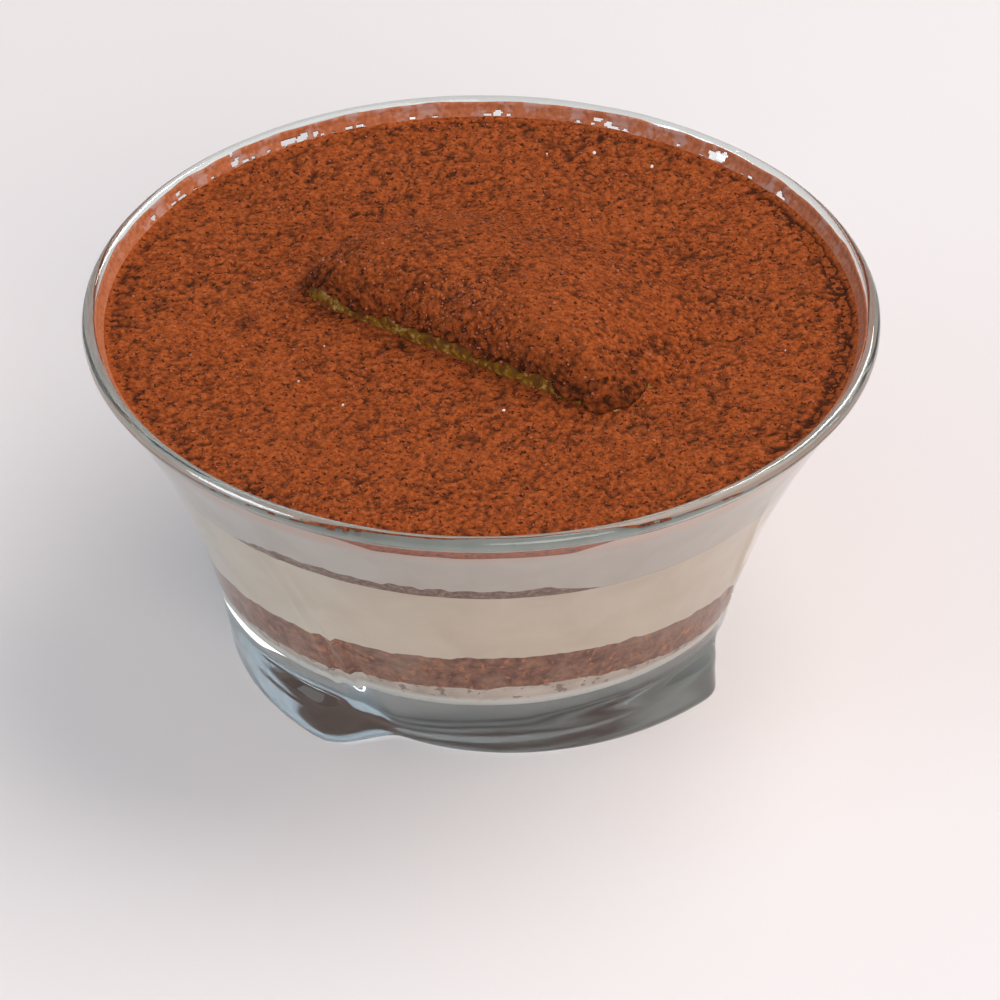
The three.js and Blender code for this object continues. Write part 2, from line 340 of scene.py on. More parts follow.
def fill_layer(name, under, over, step, material):
    """One layer from wall to wall between two boundaries, given by their heights there."""
    rows = max(2, int(np.ceil(np.max(over - under) / step)) + 1)
    rings = [inner_ring(under, share) for share in INNER_SHARES]
    for share in np.linspace(0, 1, rows):
        height = under + (over - under) * share
        rings.append(ring_points(cavity_radius(height, INTO_GLASS), fill_turn, height))
    rings += [inner_ring(over, share) for share in reversed(INNER_SHARES)]
    ends = [[0, 0, np.mean(under)]], [[0, 0, np.mean(over)]]
    points = np.concatenate([ends[0], np.concatenate(rings), ends[1]])
    piece = make_piece(name, points, turned_faces(len(rings), FILL_COLUMNS), material)
    piece.data.set_sharp_from_angle(angle=math.radians(40))
    return piece


def let_light_in(shader, share, colour_reach, depth):
    """Light that goes that many metres into the piece and comes out again."""
    shader.inputs["Subsurface Weight"].default_value = share
    shader.inputs["Subsurface Radius"].default_value = colour_reach
    shader.inputs["Subsurface Scale"].default_value = depth


def soften_cream(tree, shader, where, clouds):
    """The soft, slightly uneven and slightly translucent body of whipped cream."""
    vary_roughness(tree, shader, clouds, 0.42, 0.6)
    let_light_in(shader, 0.25, (1.0, 0.75, 0.5), 0.0015)
    add_bump(tree, shader, noise_node(tree, where, 2.2, detail=4), 0.35, 0.2)


def cream_finish(name, pale, warm, fleck, fleck_from):
    """Cream: softly mottled, with small flecks of cocoa in it."""
    finish, tree, shader, where = new_finish(name, 0.5)
    clouds = noise_node(tree, where, 9, detail=4, distortion=0.6)
    colour = ramp_node(tree, clouds, [(0.32, warm), (0.68, pale)])
    specks = noise_node(tree, where, 0.9, detail=3, roughness=0.6)
    flecked = range_node(tree, specks, fleck_from, fleck_from + 0.08, 0, 0.7)
    colour = mix_node(tree, flecked, colour, fleck)
    tree.links.new(colour, shader.inputs["Base Color"])
    soften_cream(tree, shader, where, clouds)
    return finish


floor_line = np.full(FILL_COLUMNS, FLOOR_LEVEL - INTO_GLASS)
on_film = CREAM_FILM_LEVEL + boundary(1.7, -math.pi / 2, 0.32, 1.9, 11)
film_cream, tree, shader, where = new_finish("film_cream", 0.5)
clouds = noise_node(tree, where, 5, detail=4, distortion=0.8)
colour = ramp_node(tree, clouds, [(0.35, (0.44, 0.33, 0.26)), (0.65, (0.64, 0.52, 0.44))])
flecks = noise_node(tree, where, 1.3, detail=2, roughness=0.5)
colour = mix_node(tree, range_node(tree, flecks, 0.58, 0.64, 0, 0.75), colour, (0.17, 0.09, 0.06))
axes = axes_node(tree, where)
# Painted highlight: bare cream at the corner, painted much paler than the cream for the bright line
# along the glass corner.
pale_corner_highlight = range_node(tree, axes["Z"], 0.0123, 0.0113, 0, 0.9)
colour = mix_node(tree, pale_corner_highlight, colour, (0.90, 0.83, 0.76))

# The pools and the painted reflection streaks lie on the underside, by their distance from a point
# in its back half
reach = tree.nodes.new("ShaderNodeVectorMath")
reach.operation = "DISTANCE"
reach.inputs[1].default_value = (0, 0.0295, 0.0094)
tree.links.new(where, reach.inputs[0])
spread = noise_node(tree, where, 10, detail=4, roughness=0.55, distortion=0.4)
pool_and_streak_reach = math_node(tree, "MULTIPLY_ADD", spread, 0.012, reach.outputs["Value"])
pool_and_highlight_share = range_node(tree, pool_and_streak_reach, 0.042, 0.062, 0, 1)
pool_and_streak_share = range_node(tree, pool_and_streak_reach, 0.025, 0.062, 0, 1)
# Dark coffee pools, banded with pale grey painted reflection streaks.
coffee_and_painted_reflections = ramp_node(tree, pool_and_streak_share, [
    (0.10, (0.42, 0.40, 0.38)),
    (0.24, (0.17, 0.13, 0.11)),
    (0.38, (0.62, 0.61, 0.60)),
    (0.52, (0.16, 0.10, 0.08)),
    (0.66, (0.50, 0.49, 0.48)),
    (0.78, (0.13, 0.075, 0.055)),
    (0.92, (0.48, 0.47, 0.46)),
])
# Dark pools, and a blue-white painted highlight for the left lobe of the foot.
pool_and_painted_highlight = ramp_node(tree, pool_and_highlight_share, [
    (0.06, (0.50, 0.52, 0.54)),
    (0.16, (0.90, 0.93, 0.96)),
    (0.38, (0.86, 0.91, 0.96)),
    (0.47, (0.12, 0.055, 0.03)),
    (0.85, (0.20, 0.11, 0.08)),
])
left_pool_and_highlight_share = range_node(tree, axes["X"], -0.010, -0.0135, 0, 1)
coffee_and_painted_reflections = mix_node(tree, left_pool_and_highlight_share, coffee_and_painted_reflections, pool_and_painted_highlight)
# Painted reflection: a grey-green wash over the right of the underside.
right_painted_reflection_share = range_node(tree, axes["X"], 0.017, 0.024, 0, 0.45)
coffee_and_painted_reflections = mix_node(tree, right_painted_reflection_share, coffee_and_painted_reflections, (0.42, 0.46, 0.44))
underside = range_node(tree, axes["Z"], 0.0096, 0.0094, 0, 1)
colour = mix_node(tree, underside, colour, coffee_and_painted_reflections)
tree.links.new(colour, shader.inputs["Base Color"])
vary_roughness(tree, shader, clouds, 0.42, 0.6)
add_bump(tree, shader, clouds, 0.35, 0.2)
bottom_film = fill_layer("cream_film", floor_line, on_film, 0.45, film_cream)
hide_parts("bottom_cream")

# ---------------------------------------------------------------- soaked biscuit
# Sponge fingers dipped in coffee and laid in one layer. Pressed against the glass they
# look brown and moist, with open crumb, orange-brown grains and an irregular edge.

BISCUIT_LEVEL = 20.4
on_biscuit = BISCUIT_LEVEL + boundary(2.0, -math.pi / 2, 0.42, 2.4, 21)
sponge, tree, shader, where = new_finish("coffee_soaked_sponge", 0.7)
crumb = noise_node(tree, where, 1.6, detail=5, roughness=0.65)
colour = ramp_node(tree, crumb, [
    (0.34, (0.11, 0.031, 0.014)),
    (0.50, (0.225, 0.077, 0.036)),
    (0.66, (0.34, 0.140, 0.072)),
])
grain = noise_node(tree, where, 1.5, detail=3, roughness=0.65)
colour = mix_node(tree, range_node(tree, grain, 0.59, 0.64, 0, 0.9), colour, (0.52, 0.155, 0.035))
soak = noise_node(tree, where, 8, detail=2)
colour = mix_node(tree, range_node(tree, soak, 0.54, 0.72, 0, 0.5), colour, (0.35, 0.21, 0.15))
tree.links.new(colour, shader.inputs["Base Color"])
vary_roughness(tree, shader, crumb, 0.85, 0.5)
add_bump(tree, shader, crumb, 0.8, 0.5)
biscuit = fill_layer("biscuit_layer", on_film, on_biscuit, 0.6, sponge)
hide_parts("soaked_biscuit")

# ---------------------------------------------------------------- lower cream
# The thick lower layer of mascarpone and egg cream, piped on to the biscuit and levelled.
# It's smooth and warm off-white against the glass, with faint clouds where it was stirred.

LOWER_CREAM_LEVEL = 38.6
on_lower_cream = LOWER_CREAM_LEVEL + boundary(0.4, 0.4, 0.14, 5.0, 31)
whipped_cream = cream_finish(
    "mascarpone_cream",
    pale=(0.70, 0.575, 0.465),
    warm=(0.63, 0.50, 0.39),
    fleck=(0.45, 0.25, 0.13),
    fleck_from=0.74,
)
lower_cream = fill_layer("cream_lower", on_biscuit, on_lower_cream, 1.2, whipped_cream)
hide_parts("lower_cream")

# ---------------------------------------------------------------- cocoa line
# Cocoa sifted over the lower cream before the second layer went on. It has soaked up water
# and shows as a grey-brown line, thick in some stretches and hardly there in others.


def stretch(middle, half_width, soft):
    """One on a stretch round the glass, falling to nought past its ends; in degrees."""
    away = np.abs((np.degrees(fill_turn) - middle + 180) % 360 - 180)
    return np.clip((half_width + soft - away) / soft, 0, 1)


line_depth = 0.05 + 2.1 * stretch(-103, 24, 10)
line_depth = line_depth + 0.9 * stretch(38, 20, 15) + 1.1 * stretch(140, 22, 14)
line_depth = line_depth * (1 + 0.22 * uneven(fill_across, fill_along, 0, 1.3, 41))
on_cocoa_line = on_lower_cream + line_depth
wet_cocoa, tree, shader, where = new_finish("damp_cocoa_line", 0.75)
grain = noise_node(tree, where, 0.8, detail=4, roughness=0.6)
colour = ramp_node(tree, grain, [
    (0.34, (0.110, 0.047, 0.030)),
    (0.50, (0.195, 0.095, 0.062)),
    (0.68, (0.34, 0.205, 0.145)),
])
tree.links.new(colour, shader.inputs["Base Color"])
vary_roughness(tree, shader, grain, 0.85, 0.6)
add_bump(tree, shader, grain, 0.6, 0.3)
cocoa_line = fill_layer("cocoa_line_damp", on_lower_cream, on_cocoa_line, 0.4, wet_cocoa)
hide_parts("cocoa_line")

# ---------------------------------------------------------------- upper cream
# The second layer of the same cream, levelled just below the lip. It is painted darker and
# greyer than the lower layer, as painted shade under the rim with a painted cool reflection.
# Its top edge is stained pink-brown where moisture has carried cocoa down along the glass.

COCOA_FOOT = 53.0
cocoa_depth = 0.45 + 1.8 * stretch(-91, 15, 6)
cocoa_depth = cocoa_depth + 0.12 * uneven(fill_across, fill_along, 0, 2.5, 51)
on_upper_cream = COCOA_FOOT - cocoa_depth
shaded_upper_cream_finish, tree, shader, where = new_finish("mascarpone_cream_stained_and_shaded", 0.5)
clouds = noise_node(tree, where, 9, detail=4, distortion=0.6)
# Painted shade and painted cool reflection: the same cream in darker, greyer tones than the lower
# layer.
colour = ramp_node(tree, clouds, [(0.32, (0.53, 0.455, 0.40)), (0.68, (0.60, 0.525, 0.47))])
stain = range_node(tree, axes_node(tree, where)["Z"], 0.0490, 0.0506, 0, 0.8)
colour = mix_node(tree, stain, colour, (0.62, 0.40, 0.32))
tree.links.new(colour, shader.inputs["Base Color"])
soften_cream(tree, shader, where, clouds)
upper_cream = fill_layer("cream_upper", on_cocoa_line, on_upper_cream, 0.9, shaded_upper_cream_finish)
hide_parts("upper_cream")

# ---------------------------------------------------------------- cocoa bed
# Dry cocoa sifted over the whole surface. The powder lies in rounded clumps of about a
# millimetre with pits between them, and the pits are painted dark as shade. It has sunk away
# from the glass on the right, and lies a little lower along the front.

COCOA_TOP = 53.1
FRONT_DIP = 0.27
BED_CELLS = 306


def clumps(x, y, z, spacing, seed):
    """Height of rounded clumps on a jittered grid, from about -1 in the pits to 1."""
    rng = np.random.default_rng(seed)
    shift = rng.uniform(-0.48, 0.48, (48, 48, 48, 3))
    rise = rng.uniform(0, 1, (48, 48, 48))
    place = np.stack(np.broadcast_arrays(x, y, z), axis=-1) / spacing
    cell = np.floor(place).astype(int)
    best = np.full(place.shape[:-1], -9.0)
    for step in np.ndindex(3, 3, 3):
        near = cell + np.array(step) - 1
        i, j, k = np.moveaxis(near % 48, -1, 0)
        away = place - (near + 0.5 + shift[i, j, k])
        best = np.maximum(best, rise[i, j, k] - 2.3 * np.sum(away ** 2, axis=-1))
    return np.clip(best * 1.5 - 0.35, -1.2, 1)


def powder_relief(x, y):
    """Relief of sifted cocoa in millimetres."""
    warp_x = x + 0.5 * uneven(x, y, 0, 2.0, 61)
    warp_y = y + 0.5 * uneven(x, y, 5, 2.0, 62)
    coarse = clumps(warp_x, warp_y, 0.3, 1.3, 63)
    fine = clumps(warp_x, warp_y, 0.2, 0.8, 64)
    return 0.17 * coarse + 0.12 * fine + 0.07 * uneven(x, y, 2, 6, 65)


def disc_grid(cells):
    """Points of an even square grid bent into a disc of radius one."""
    side = np.linspace(-1, 1, cells + 1)
    a, b = np.meshgrid(side, side, indexing="ij")
    wide = np.abs(a) >= np.abs(b)
    over = np.where(wide, a, b)
    safe = np.where(over == 0, 1, over)
    turn = np.where(wide, math.pi / 4 * b / safe, math.pi / 2 - math.pi / 4 * a / safe)
    return over * np.cos(turn), over * np.sin(turn)


def grid_faces(cells):
    """The grid's square faces."""
    index = np.arange((cells + 1) ** 2).reshape(cells + 1, cells + 1)
    corners = index[:-1, :-1], index[1:, :-1], index[1:, 1:], index[:-1, 1:]
    return np.stack([c.ravel() for c in corners], axis=1).tolist()


def grid_border(cells):
    """The grid's border points in order, anticlockwise seen from above."""
    index = np.arange((cells + 1) ** 2).reshape(cells + 1, cells + 1)
    return np.concatenate([index[:-1, 0], index[-1, :-1], index[:0:-1, -1], index[0, :0:-1]])


def closed_below(points, faces, border, rows):
    """Closes an open sheet downwards through more rows of border points and a middle."""
    points = [np.asarray(points)]
    count = len(points[0])
    above = border
    for row in rows:
        below = np.arange(count, count + len(border))
        points.append(row)
        count += len(border)
        faces += np.stack([below, np.roll(below, -1), np.roll(above, -1), above], axis=1).tolist()
        above = below
    points.append([[0, 0, float(np.mean(rows[-1][:, 2]))]])
    faces += [(count, int(j), int(i)) for i, j in zip(above, np.roll(above, -1))]
    return np.concatenate(points), faces


def add_painted_shade(piece, painted_shade):
    """Stores the painted shade of each point: in the pits of the relief, and on the quenelle's
    front face.
    """
    store = piece.data.attributes.new("painted_shade", "FLOAT", "POINT")
    store.data.foreach_set("value", np.asarray(painted_shade, np.float32))


def powder_finish(name, dark, middle, light):
    """Cocoa powder: matt grains in three browns, with painted shade in the pits and painted dark
    specks for the shadows between clumps.
    """
    finish, tree, shader, where = new_finish(name, 0.92)
    grain = noise_node(tree, where, 0.55, detail=4, roughness=0.62)
    colour = ramp_node(tree, grain, [(0.30, dark), (0.50, middle), (0.70, light)])
    drift = noise_node(tree, where, 11, detail=3)
    colour = mix_node(tree, range_node(tree, drift, 0.4, 0.7, 0, 0.18), colour, light)
    # Painted shade: the powder is painted darker the deeper a point lies in a pit.
    depth = tree.nodes.new("ShaderNodeAttribute")
    depth.attribute_name = "painted_shade"
    painted_shade_share = range_node(tree, depth.outputs["Fac"], 0.0, 1.0, 0, 0.92)
    colour = mix_node(tree, painted_shade_share, colour, (0.035, 0.010, 0.004))
    # Painted shade: dark specks painted in for the shadows between clumps.
    dots = noise_node(tree, where, 0.9, detail=2.5, roughness=0.7)
    painted_speck_shade = range_node(tree, dots, 0.575, 0.64, 0, 0.92)
    colour = mix_node(tree, painted_speck_shade, colour, (0.040, 0.010, 0.0035))
    tree.links.new(colour, shader.inputs["Base Color"])
    vary_roughness(tree, shader, grain, 0.98, 0.82)
    shader.inputs["Specular IOR Level"].default_value = 0.05
    add_bump(tree, shader, grain, 0.6, 0.22)
    return finish


dry_cocoa = powder_finish(
    "dry_cocoa",
    dark=(0.15, 0.027, 0.0055),
    middle=(0.335, 0.067, 0.0135),
    light=(0.475, 0.115, 0.029),
)

bed_x, bed_y = disc_grid(BED_CELLS)
bed_rim = float(cavity_radius(COCOA_TOP, INTO_GLASS))
bed_x = bed_x * bed_rim
bed_y = bed_y * bed_rim


def front_dip(x, y):
    """How much lower the cocoa lies along the front of the glass."""
    turn = np.degrees(np.arctan2(y, x))
    along = np.clip(1.3 - np.abs(turn + 91) / 50, 0, 1)
    return FRONT_DIP * along * np.clip((np.hypot(x, y) - bed_rim + 3) / 3, 0, 1)


def bed_height(x, y):
    """Height of the cocoa's surface; it dips beside the glass, most of all on the right."""
    out = np.hypot(x, y)
    turn = np.degrees(np.arctan2(y, x))
    right = np.clip(1.2 - np.abs(turn - 5) / 38, 0, 1)
    gully = np.exp(-(((bed_rim - 2.0 - out) / 1.1) ** 2)) * (0.08 + 0.9 * right)
    gully = gully * (0.7 + 0.6 * uneven(x, y, 0, 1.5, 66))
    calm = np.clip((bed_rim - 0.3 - out) / 1.2, 0, 1)
    return COCOA_TOP + calm * powder_relief(x, y) - gully * calm - front_dip(x, y)


bed_z = bed_height(bed_x, bed_y)
points = np.stack([bed_x, bed_y, bed_z], axis=-1).reshape(-1, 3)
border = grid_border(BED_CELLS)
border_turn = np.arctan2(points[border, 1], points[border, 0])
cocoa_foot = np.interp(border_turn, fill_turn, on_upper_cream, period=2 * math.pi)
rows = []
for share in (0.33, 0.66, 1.0):
    height = points[border, 2] * (1 - share) + cocoa_foot * share
    radius = cavity_radius(height, INTO_GLASS)
    rows.append(ring_points(radius, border_turn, height))
# Painted shade: the further a point lies below the bed's level, in a pit or in the gully beside the
# glass, the darker it is painted.
painted_shade = COCOA_TOP - 0.09 - (bed_z + front_dip(bed_x, bed_y)).ravel()
painted_shade = np.clip(painted_shade / 0.30, 0, 1) ** 1.3
points, faces = closed_below(points, grid_faces(BED_CELLS), border, rows)
bed = make_piece("cocoa_bed", points, faces, dry_cocoa)
add_painted_shade(bed, np.concatenate([painted_shade, np.zeros(len(points) - len(painted_shade))]))
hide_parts("cocoa_dusting")

# ---------------------------------------------------------------- quenelle
# A spoonful of cream set aslant on the surface: straight and steep along its front edge,
# rounded and sloping off behind. Its bare front foot is moist and yellow.

QUENELLE_X = 1.7
QUENELLE_Y = -0.8
QUENELLE_TURN = math.radians(-34)
HALF_LENGTH = 29.4
FRONT_REACH = 10.2
BACK_REACH = 31
QUENELLE_FOOT = 52.3
QUENELLE_TOP = 60.9
FRONT_SQUARENESS = 7
BACK_SQUARENESS = 2.3
FRONT_FULLNESS = 4.5
BACK_FULLNESS = 2.4
FRONT_STEEPNESS = 0.62
BACK_STEEPNESS = 1.8
RIGHT_END_SLOPE = 0.45  # how much the right end slopes off as the back does
EDGE_CROWDING = 1.7  # draws the mesh's rows together on the steep front


def quenelle_point(x, y):
    """Turns points of the unit disc into points of the quenelle, in its own directions."""
    share = 1 - (1 - np.minimum(np.hypot(x, y), 1)) ** EDGE_CROWDING
    turn = np.arctan2(y, x)
    front = np.sin(turn) < 0
    power = np.where(front, FRONT_SQUARENESS, BACK_SQUARENESS)
    across = np.where(front, FRONT_REACH, BACK_REACH)
    reach = (np.abs(np.cos(turn)) / HALF_LENGTH) ** power
    reach = (reach + (np.abs(np.sin(turn)) / across) ** power) ** (-1 / power)
    right_painted_reflection_share = np.clip(np.cos(turn), 0, 1) ** 3
    behind = np.clip(np.sin(turn) + RIGHT_END_SLOPE * right_painted_reflection_share, 0, 1)
    fullness = FRONT_FULLNESS + (BACK_FULLNESS - FRONT_FULLNESS) * behind
    steepness = FRONT_STEEPNESS + (BACK_STEEPNESS - FRONT_STEEPNESS) * behind
    rise = np.clip(1 - share ** fullness, 0, 1) ** steepness
    height = QUENELLE_FOOT + (QUENELLE_TOP - QUENELLE_FOOT) * rise
    return share * reach * np.cos(turn), share * reach * np.sin(turn), height


def placed(u, v, z):
    """Points from the quenelle's own directions to the bowl's."""
    x = QUENELLE_X + u * math.cos(QUENELLE_TURN) - v * math.sin(QUENELLE_TURN)
    y = QUENELLE_Y + u * math.sin(QUENELLE_TURN) + v * math.cos(QUENELLE_TURN)
    return np.stack([x, y, z], axis=-1)


CORE_CELLS = 150
core_x, core_y = disc_grid(CORE_CELLS)
u, v, z = quenelle_point(core_x, core_y)
z = z + 0.12 * uneven(u, v, z, 2.2, 71)
points = placed(u, v, z).reshape(-1, 3)
border = grid_border(CORE_CELLS)
rows = [points[border] - [0, 0, 0.6], points[border] - [0, 0, 1.2]]
points, faces = closed_below(points, grid_faces(CORE_CELLS), border, rows)
moist_cream, tree, shader, where = new_finish("moist_yellow_cream", 0.3)
streaks = noise_node(tree, where, 1.5, detail=4, distortion=0.8)
colour = ramp_node(tree, streaks, [
    (0.36, (0.13, 0.048, 0.002)),
    (0.54, (0.27, 0.125, 0.005)),
    (0.72, (0.60, 0.44, 0.16)),
])
fallen = noise_node(tree, where, 0.8, detail=2, roughness=0.6)
colour = mix_node(tree, range_node(tree, fallen, 0.53, 0.59, 0, 0.85), colour, (0.16, 0.032, 0.006))
tree.links.new(colour, shader.inputs["Base Color"])
vary_roughness(tree, shader, streaks, 0.5, 0.25)
shader.inputs["Specular IOR Level"].default_value = 0.3
let_light_in(shader, 0.2, (1.0, 0.7, 0.3), 0.0012)
add_bump(tree, shader, noise_node(tree, where, 0.9, detail=3), 0.6, 0.25)
core = make_piece("quenelle_core", points, faces, moist_cream)
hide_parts("cream_quenelle")

# ---------------------------------------------------------------- cocoa on the quenelle
# The same sifted cocoa, lying a little coarser on the quenelle, with painted shade in its pits
# and on its steep front. It stops short of the front foot, where its lower edge hangs ragged.

COAT_CELLS = 214
COAT_DEPTH = 0.95
COAT_FOOT = 52.4
BARE_TOP = 55.15
BARE_LEFT = -28.6
BARE_RIGHT = 25
STEP_IN = 0.985
STEP_ROUND = 0.004
coat_x, coat_y = disc_grid(COAT_CELLS)


def coat_surface(x, y):
    """Points of the cocoa's surface over the quenelle, and its painted shade: in the pits and on
    the low front face.
    """
    u, v, z = quenelle_point(x, y)
    core_points = np.stack([u, v, z], axis=-1)
    outward = core_points - np.stack(quenelle_point(x * STEP_IN, y * STEP_IN), axis=-1)
    beside = np.stack(quenelle_point(x - STEP_ROUND * y, y + STEP_ROUND * x), axis=-1)
    normal = np.cross(outward, beside - core_points)
    length = np.linalg.norm(normal, axis=-1, keepdims=True)
    normal = np.where(length > 1e-9, normal / np.maximum(length, 1e-9), [0, 0, 1])
    relief = 0.15 * clumps(u + 0.4 * uneven(u, v, z, 2, 72), v, z, 1.2, 73)
    relief = relief + 0.11 * clumps(u, v, z, 0.75, 74) + 0.08 * uneven(u, v, z, 5, 75)
    limit = BARE_TOP + 0.5 * uneven(u, 0, 0, 2.3, 76) + 0.4 * uneven(u, 0, 0, 0.7, 77)
    limit = limit - 1.7 * np.clip(uneven(u, 4, 0, 3.2, 78) * 1.6 + (u - 14) / 10, 0, 1)
    ends = np.clip(np.minimum(u - BARE_LEFT, np.abs(u - BARE_RIGHT) - 1.6) / 1.2, 0, 1)
    bare = np.clip((limit - z) / 0.35, 0, 1) * ends * (v < 0)
    thick = (COAT_DEPTH + relief) * (1 - bare) - 0.3 * bare
    surface = core_points + normal * thick[..., None]
    painted_shade = np.clip((-0.07 - relief) / 0.30, 0, 1) ** 1.2
    # Painted shade on the low, steep front face, where the quenelle shades itself.
    shaded = np.clip((58.6 - z) / 4.5, 0, 1) * np.clip((1.5 - v) / 5, 0, 1)
    painted_shade = painted_shade + shaded * np.clip(0.50 + 0.55 * uneven(u, v, z, 0.7, 79), 0, 0.9)
    return surface, painted_shade


surface, painted_shade = coat_surface(coat_x, coat_y)
points = placed(*np.moveaxis(surface, -1, 0)).reshape(-1, 3)
border = grid_border(COAT_CELLS)
points[border, 2] = COAT_FOOT
rows = [points[border] - [0, 0, 0.5]]
painted_shade = painted_shade.ravel()
points, faces = closed_below(points, grid_faces(COAT_CELLS), border, rows)
coat_cocoa = powder_finish(
    "dry_cocoa_coarse",
    dark=(0.13, 0.024, 0.005),
    middle=(0.325, 0.065, 0.013),
    light=(0.47, 0.114, 0.029),
)
coat = make_piece("cocoa_coat", points, faces, coat_cocoa)
add_painted_shade(coat, np.concatenate([painted_shade, np.zeros(len(points) - len(painted_shade))]))
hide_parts("cocoa_dusting")

# ---------------------------------------------------------------- cocoa on the glass
# A thin film of cocoa dust that clings to the inner wall between the bed and the lip. It
# is smooth and lighter than the bed, and rubbed through in patches towards the back.

FILM_COLUMNS = 1200
FILM_ROWS = 14
FILM_BOTTOM = 51.9
FILM_TOP = 55.15
FILM_FRONT_DROP = 0.9
film_turn = np.linspace(-math.pi, math.pi, FILM_COLUMNS, endpoint=False)
film_share = np.linspace(0, 1, FILM_ROWS + 1)[:, None]
film_front = np.clip(-1.6 * np.sin(film_turn) - 0.2, 0, 1)
film_top = FILM_TOP - FILM_FRONT_DROP * film_front
film_top = film_top + 0.12 * uneven(50 * np.cos(film_turn), 50 * np.sin(film_turn), 0, 3, 81)
film_height = FILM_BOTTOM + (film_top - FILM_BOTTOM) * film_share
lip_width = np.sqrt(np.clip(LIP_RADIUS ** 2 - (film_height - FLARE_TOP) ** 2, 0.01, 9))
lip_side = RIM_RADIUS - LIP_RADIUS - lip_width
wall_side = cavity_radius(np.minimum(film_height, FLARE_TOP))
film_wall = np.where(film_height < FLARE_TOP, wall_side, lip_side)


def film_points(depth):
    """Points that far inside the bowl's wall, or beyond it where depth is negative."""
    return ring_points(film_wall - depth, film_turn, film_height)


film_x = 55 * np.cos(film_turn)
film_y = 55 * np.sin(film_turn)
behind = np.clip((film_y - 12) / 25, 0, 1)
patches = 0.7 * uneven(film_x, film_y, film_height * 1.6, 3.2, 82)
patches = patches + 0.8 * uneven(film_x, film_y, film_height * 2, 0.8, 83)
rubbed_band = behind * np.clip(1.1 - 2.2 * np.abs(film_share - 0.35), 0, 1)


def kept_cells(kept):
    """The cells of the ring whose lower corners and upper left corner are kept."""
    return kept[:-1] & np.roll(kept, -1, axis=1)[:-1] & kept[1:]


def shell(outer, inner, keep):
    """Points and faces of a thin closed sheet over the kept cells of a ring of cells."""
    rows, columns = keep.shape
    index = np.arange((rows + 1) * columns).reshape(rows + 1, columns)
    below = index + index.size
    faces = []
    for row, column in zip(*np.nonzero(keep)):
        after = (column + 1) % columns
        a, b = index[row, column], index[row, after]
        c, d = index[row + 1, after], index[row + 1, column]
        e, f = below[row, column], below[row, after]
        g, h = below[row + 1, after], below[row + 1, column]
        faces += [(a, b, c, d), (h, g, f, e)]
        if row == 0 or not keep[row - 1, column]:
            faces.append((e, f, b, a))
        if row == rows - 1 or not keep[row + 1, column]:
            faces.append((d, c, g, h))
        if not keep[row, column - 1]:
            faces.append((a, d, h, e))
        if not keep[row, after]:
            faces.append((b, f, g, c))
    faces = np.array(faces)
    used, renumbered = np.unique(faces, return_inverse=True)
    points = np.concatenate([outer.reshape(-1, 3), inner.reshape(-1, 3)])[used]
    return points, renumbered.reshape(faces.shape).tolist()


dust_film, tree, shader, where = new_finish("cocoa_dust_film", 0.9)
grain = noise_node(tree, where, 0.8, detail=4, roughness=0.55)
colour = ramp_node(tree, grain, [
    (0.3, (0.36, 0.085, 0.022)),
    (0.6, (0.50, 0.14, 0.045)),
    (0.8, (0.56, 0.19, 0.075)),
])
rubbed = noise_node(tree, where, 3.2, detail=3, roughness=0.6)
rubbed = range_node(tree, rubbed, 0.50, 0.60, 0, 0.6)
backwards = range_node(tree, axes_node(tree, where)["Y"], 0.008, 0.030, 0, 1)
thin = math_node(tree, "MULTIPLY", rubbed, backwards)
colour = mix_node(tree, thin, colour, (0.50, 0.30, 0.25))
tree.links.new(colour, shader.inputs["Base Color"])
vary_roughness(tree, shader, grain, 0.95, 0.8)
add_bump(tree, shader, grain, 0.4, 0.1)
film_cells = kept_cells(patches - 0.85 * rubbed_band + 1.05 > 0)
points, faces = shell(film_points(0.02), film_points(0.14), film_cells)
film = make_piece("cocoa_film", points, faces, dust_film)

# ---------------------------------------------------------------- cream smear on the glass
# Where the spoon levelled the cream against the front of the glass it left a thin pale
# smear on the inner wall, under the cocoa film. Its grey-green colour is a painted
# reflection for the thick glass lip. Like the layers it reaches a little into the glass,
# so no air gap shows, and it lightens the lip from outside.

SMEAR_BOTTOM = 52.7
SMEAR_REACH = 0.26
SMEAR_THICKNESS = 0.08
smear_side = np.clip((-np.sin(film_turn) - 0.15) * 3, 0, 1)
on_front = patches * 0.3 + smear_side * 2.2 > 0.6
smear_cells = kept_cells(on_front & (film_height > SMEAR_BOTTOM + 0.15 * patches))
# Painted reflection: grey-green tones stand in for the reflection in the thick glass lip.
smear_with_lip_reflection = cream_finish(
    "smeared_cream_lip_reflection",
    pale=(0.38, 0.38, 0.335),
    warm=(0.27, 0.28, 0.245),
    fleck=(0.35, 0.2, 0.12),
    fleck_from=0.68,
)
smear_inside = film_points(SMEAR_THICKNESS - SMEAR_REACH)
points, faces = shell(film_points(-SMEAR_REACH), smear_inside, smear_cells)
smear = make_piece("cream_smear_lip_reflection", points, faces, smear_with_lip_reflection)

# ---------------------------------------------------------------- loose grains
# Single grains and crumbs of cocoa that lie on top of the bed and the quenelle, and a few
# specks of dried cream that dropped from the spoon.

BED_GRAINS = 5200
COAT_GRAINS = 1900
CREAM_SPECKS = 11
GRAINS_FROM = 54.9  # the quenelle's bare foot below this height has no grains


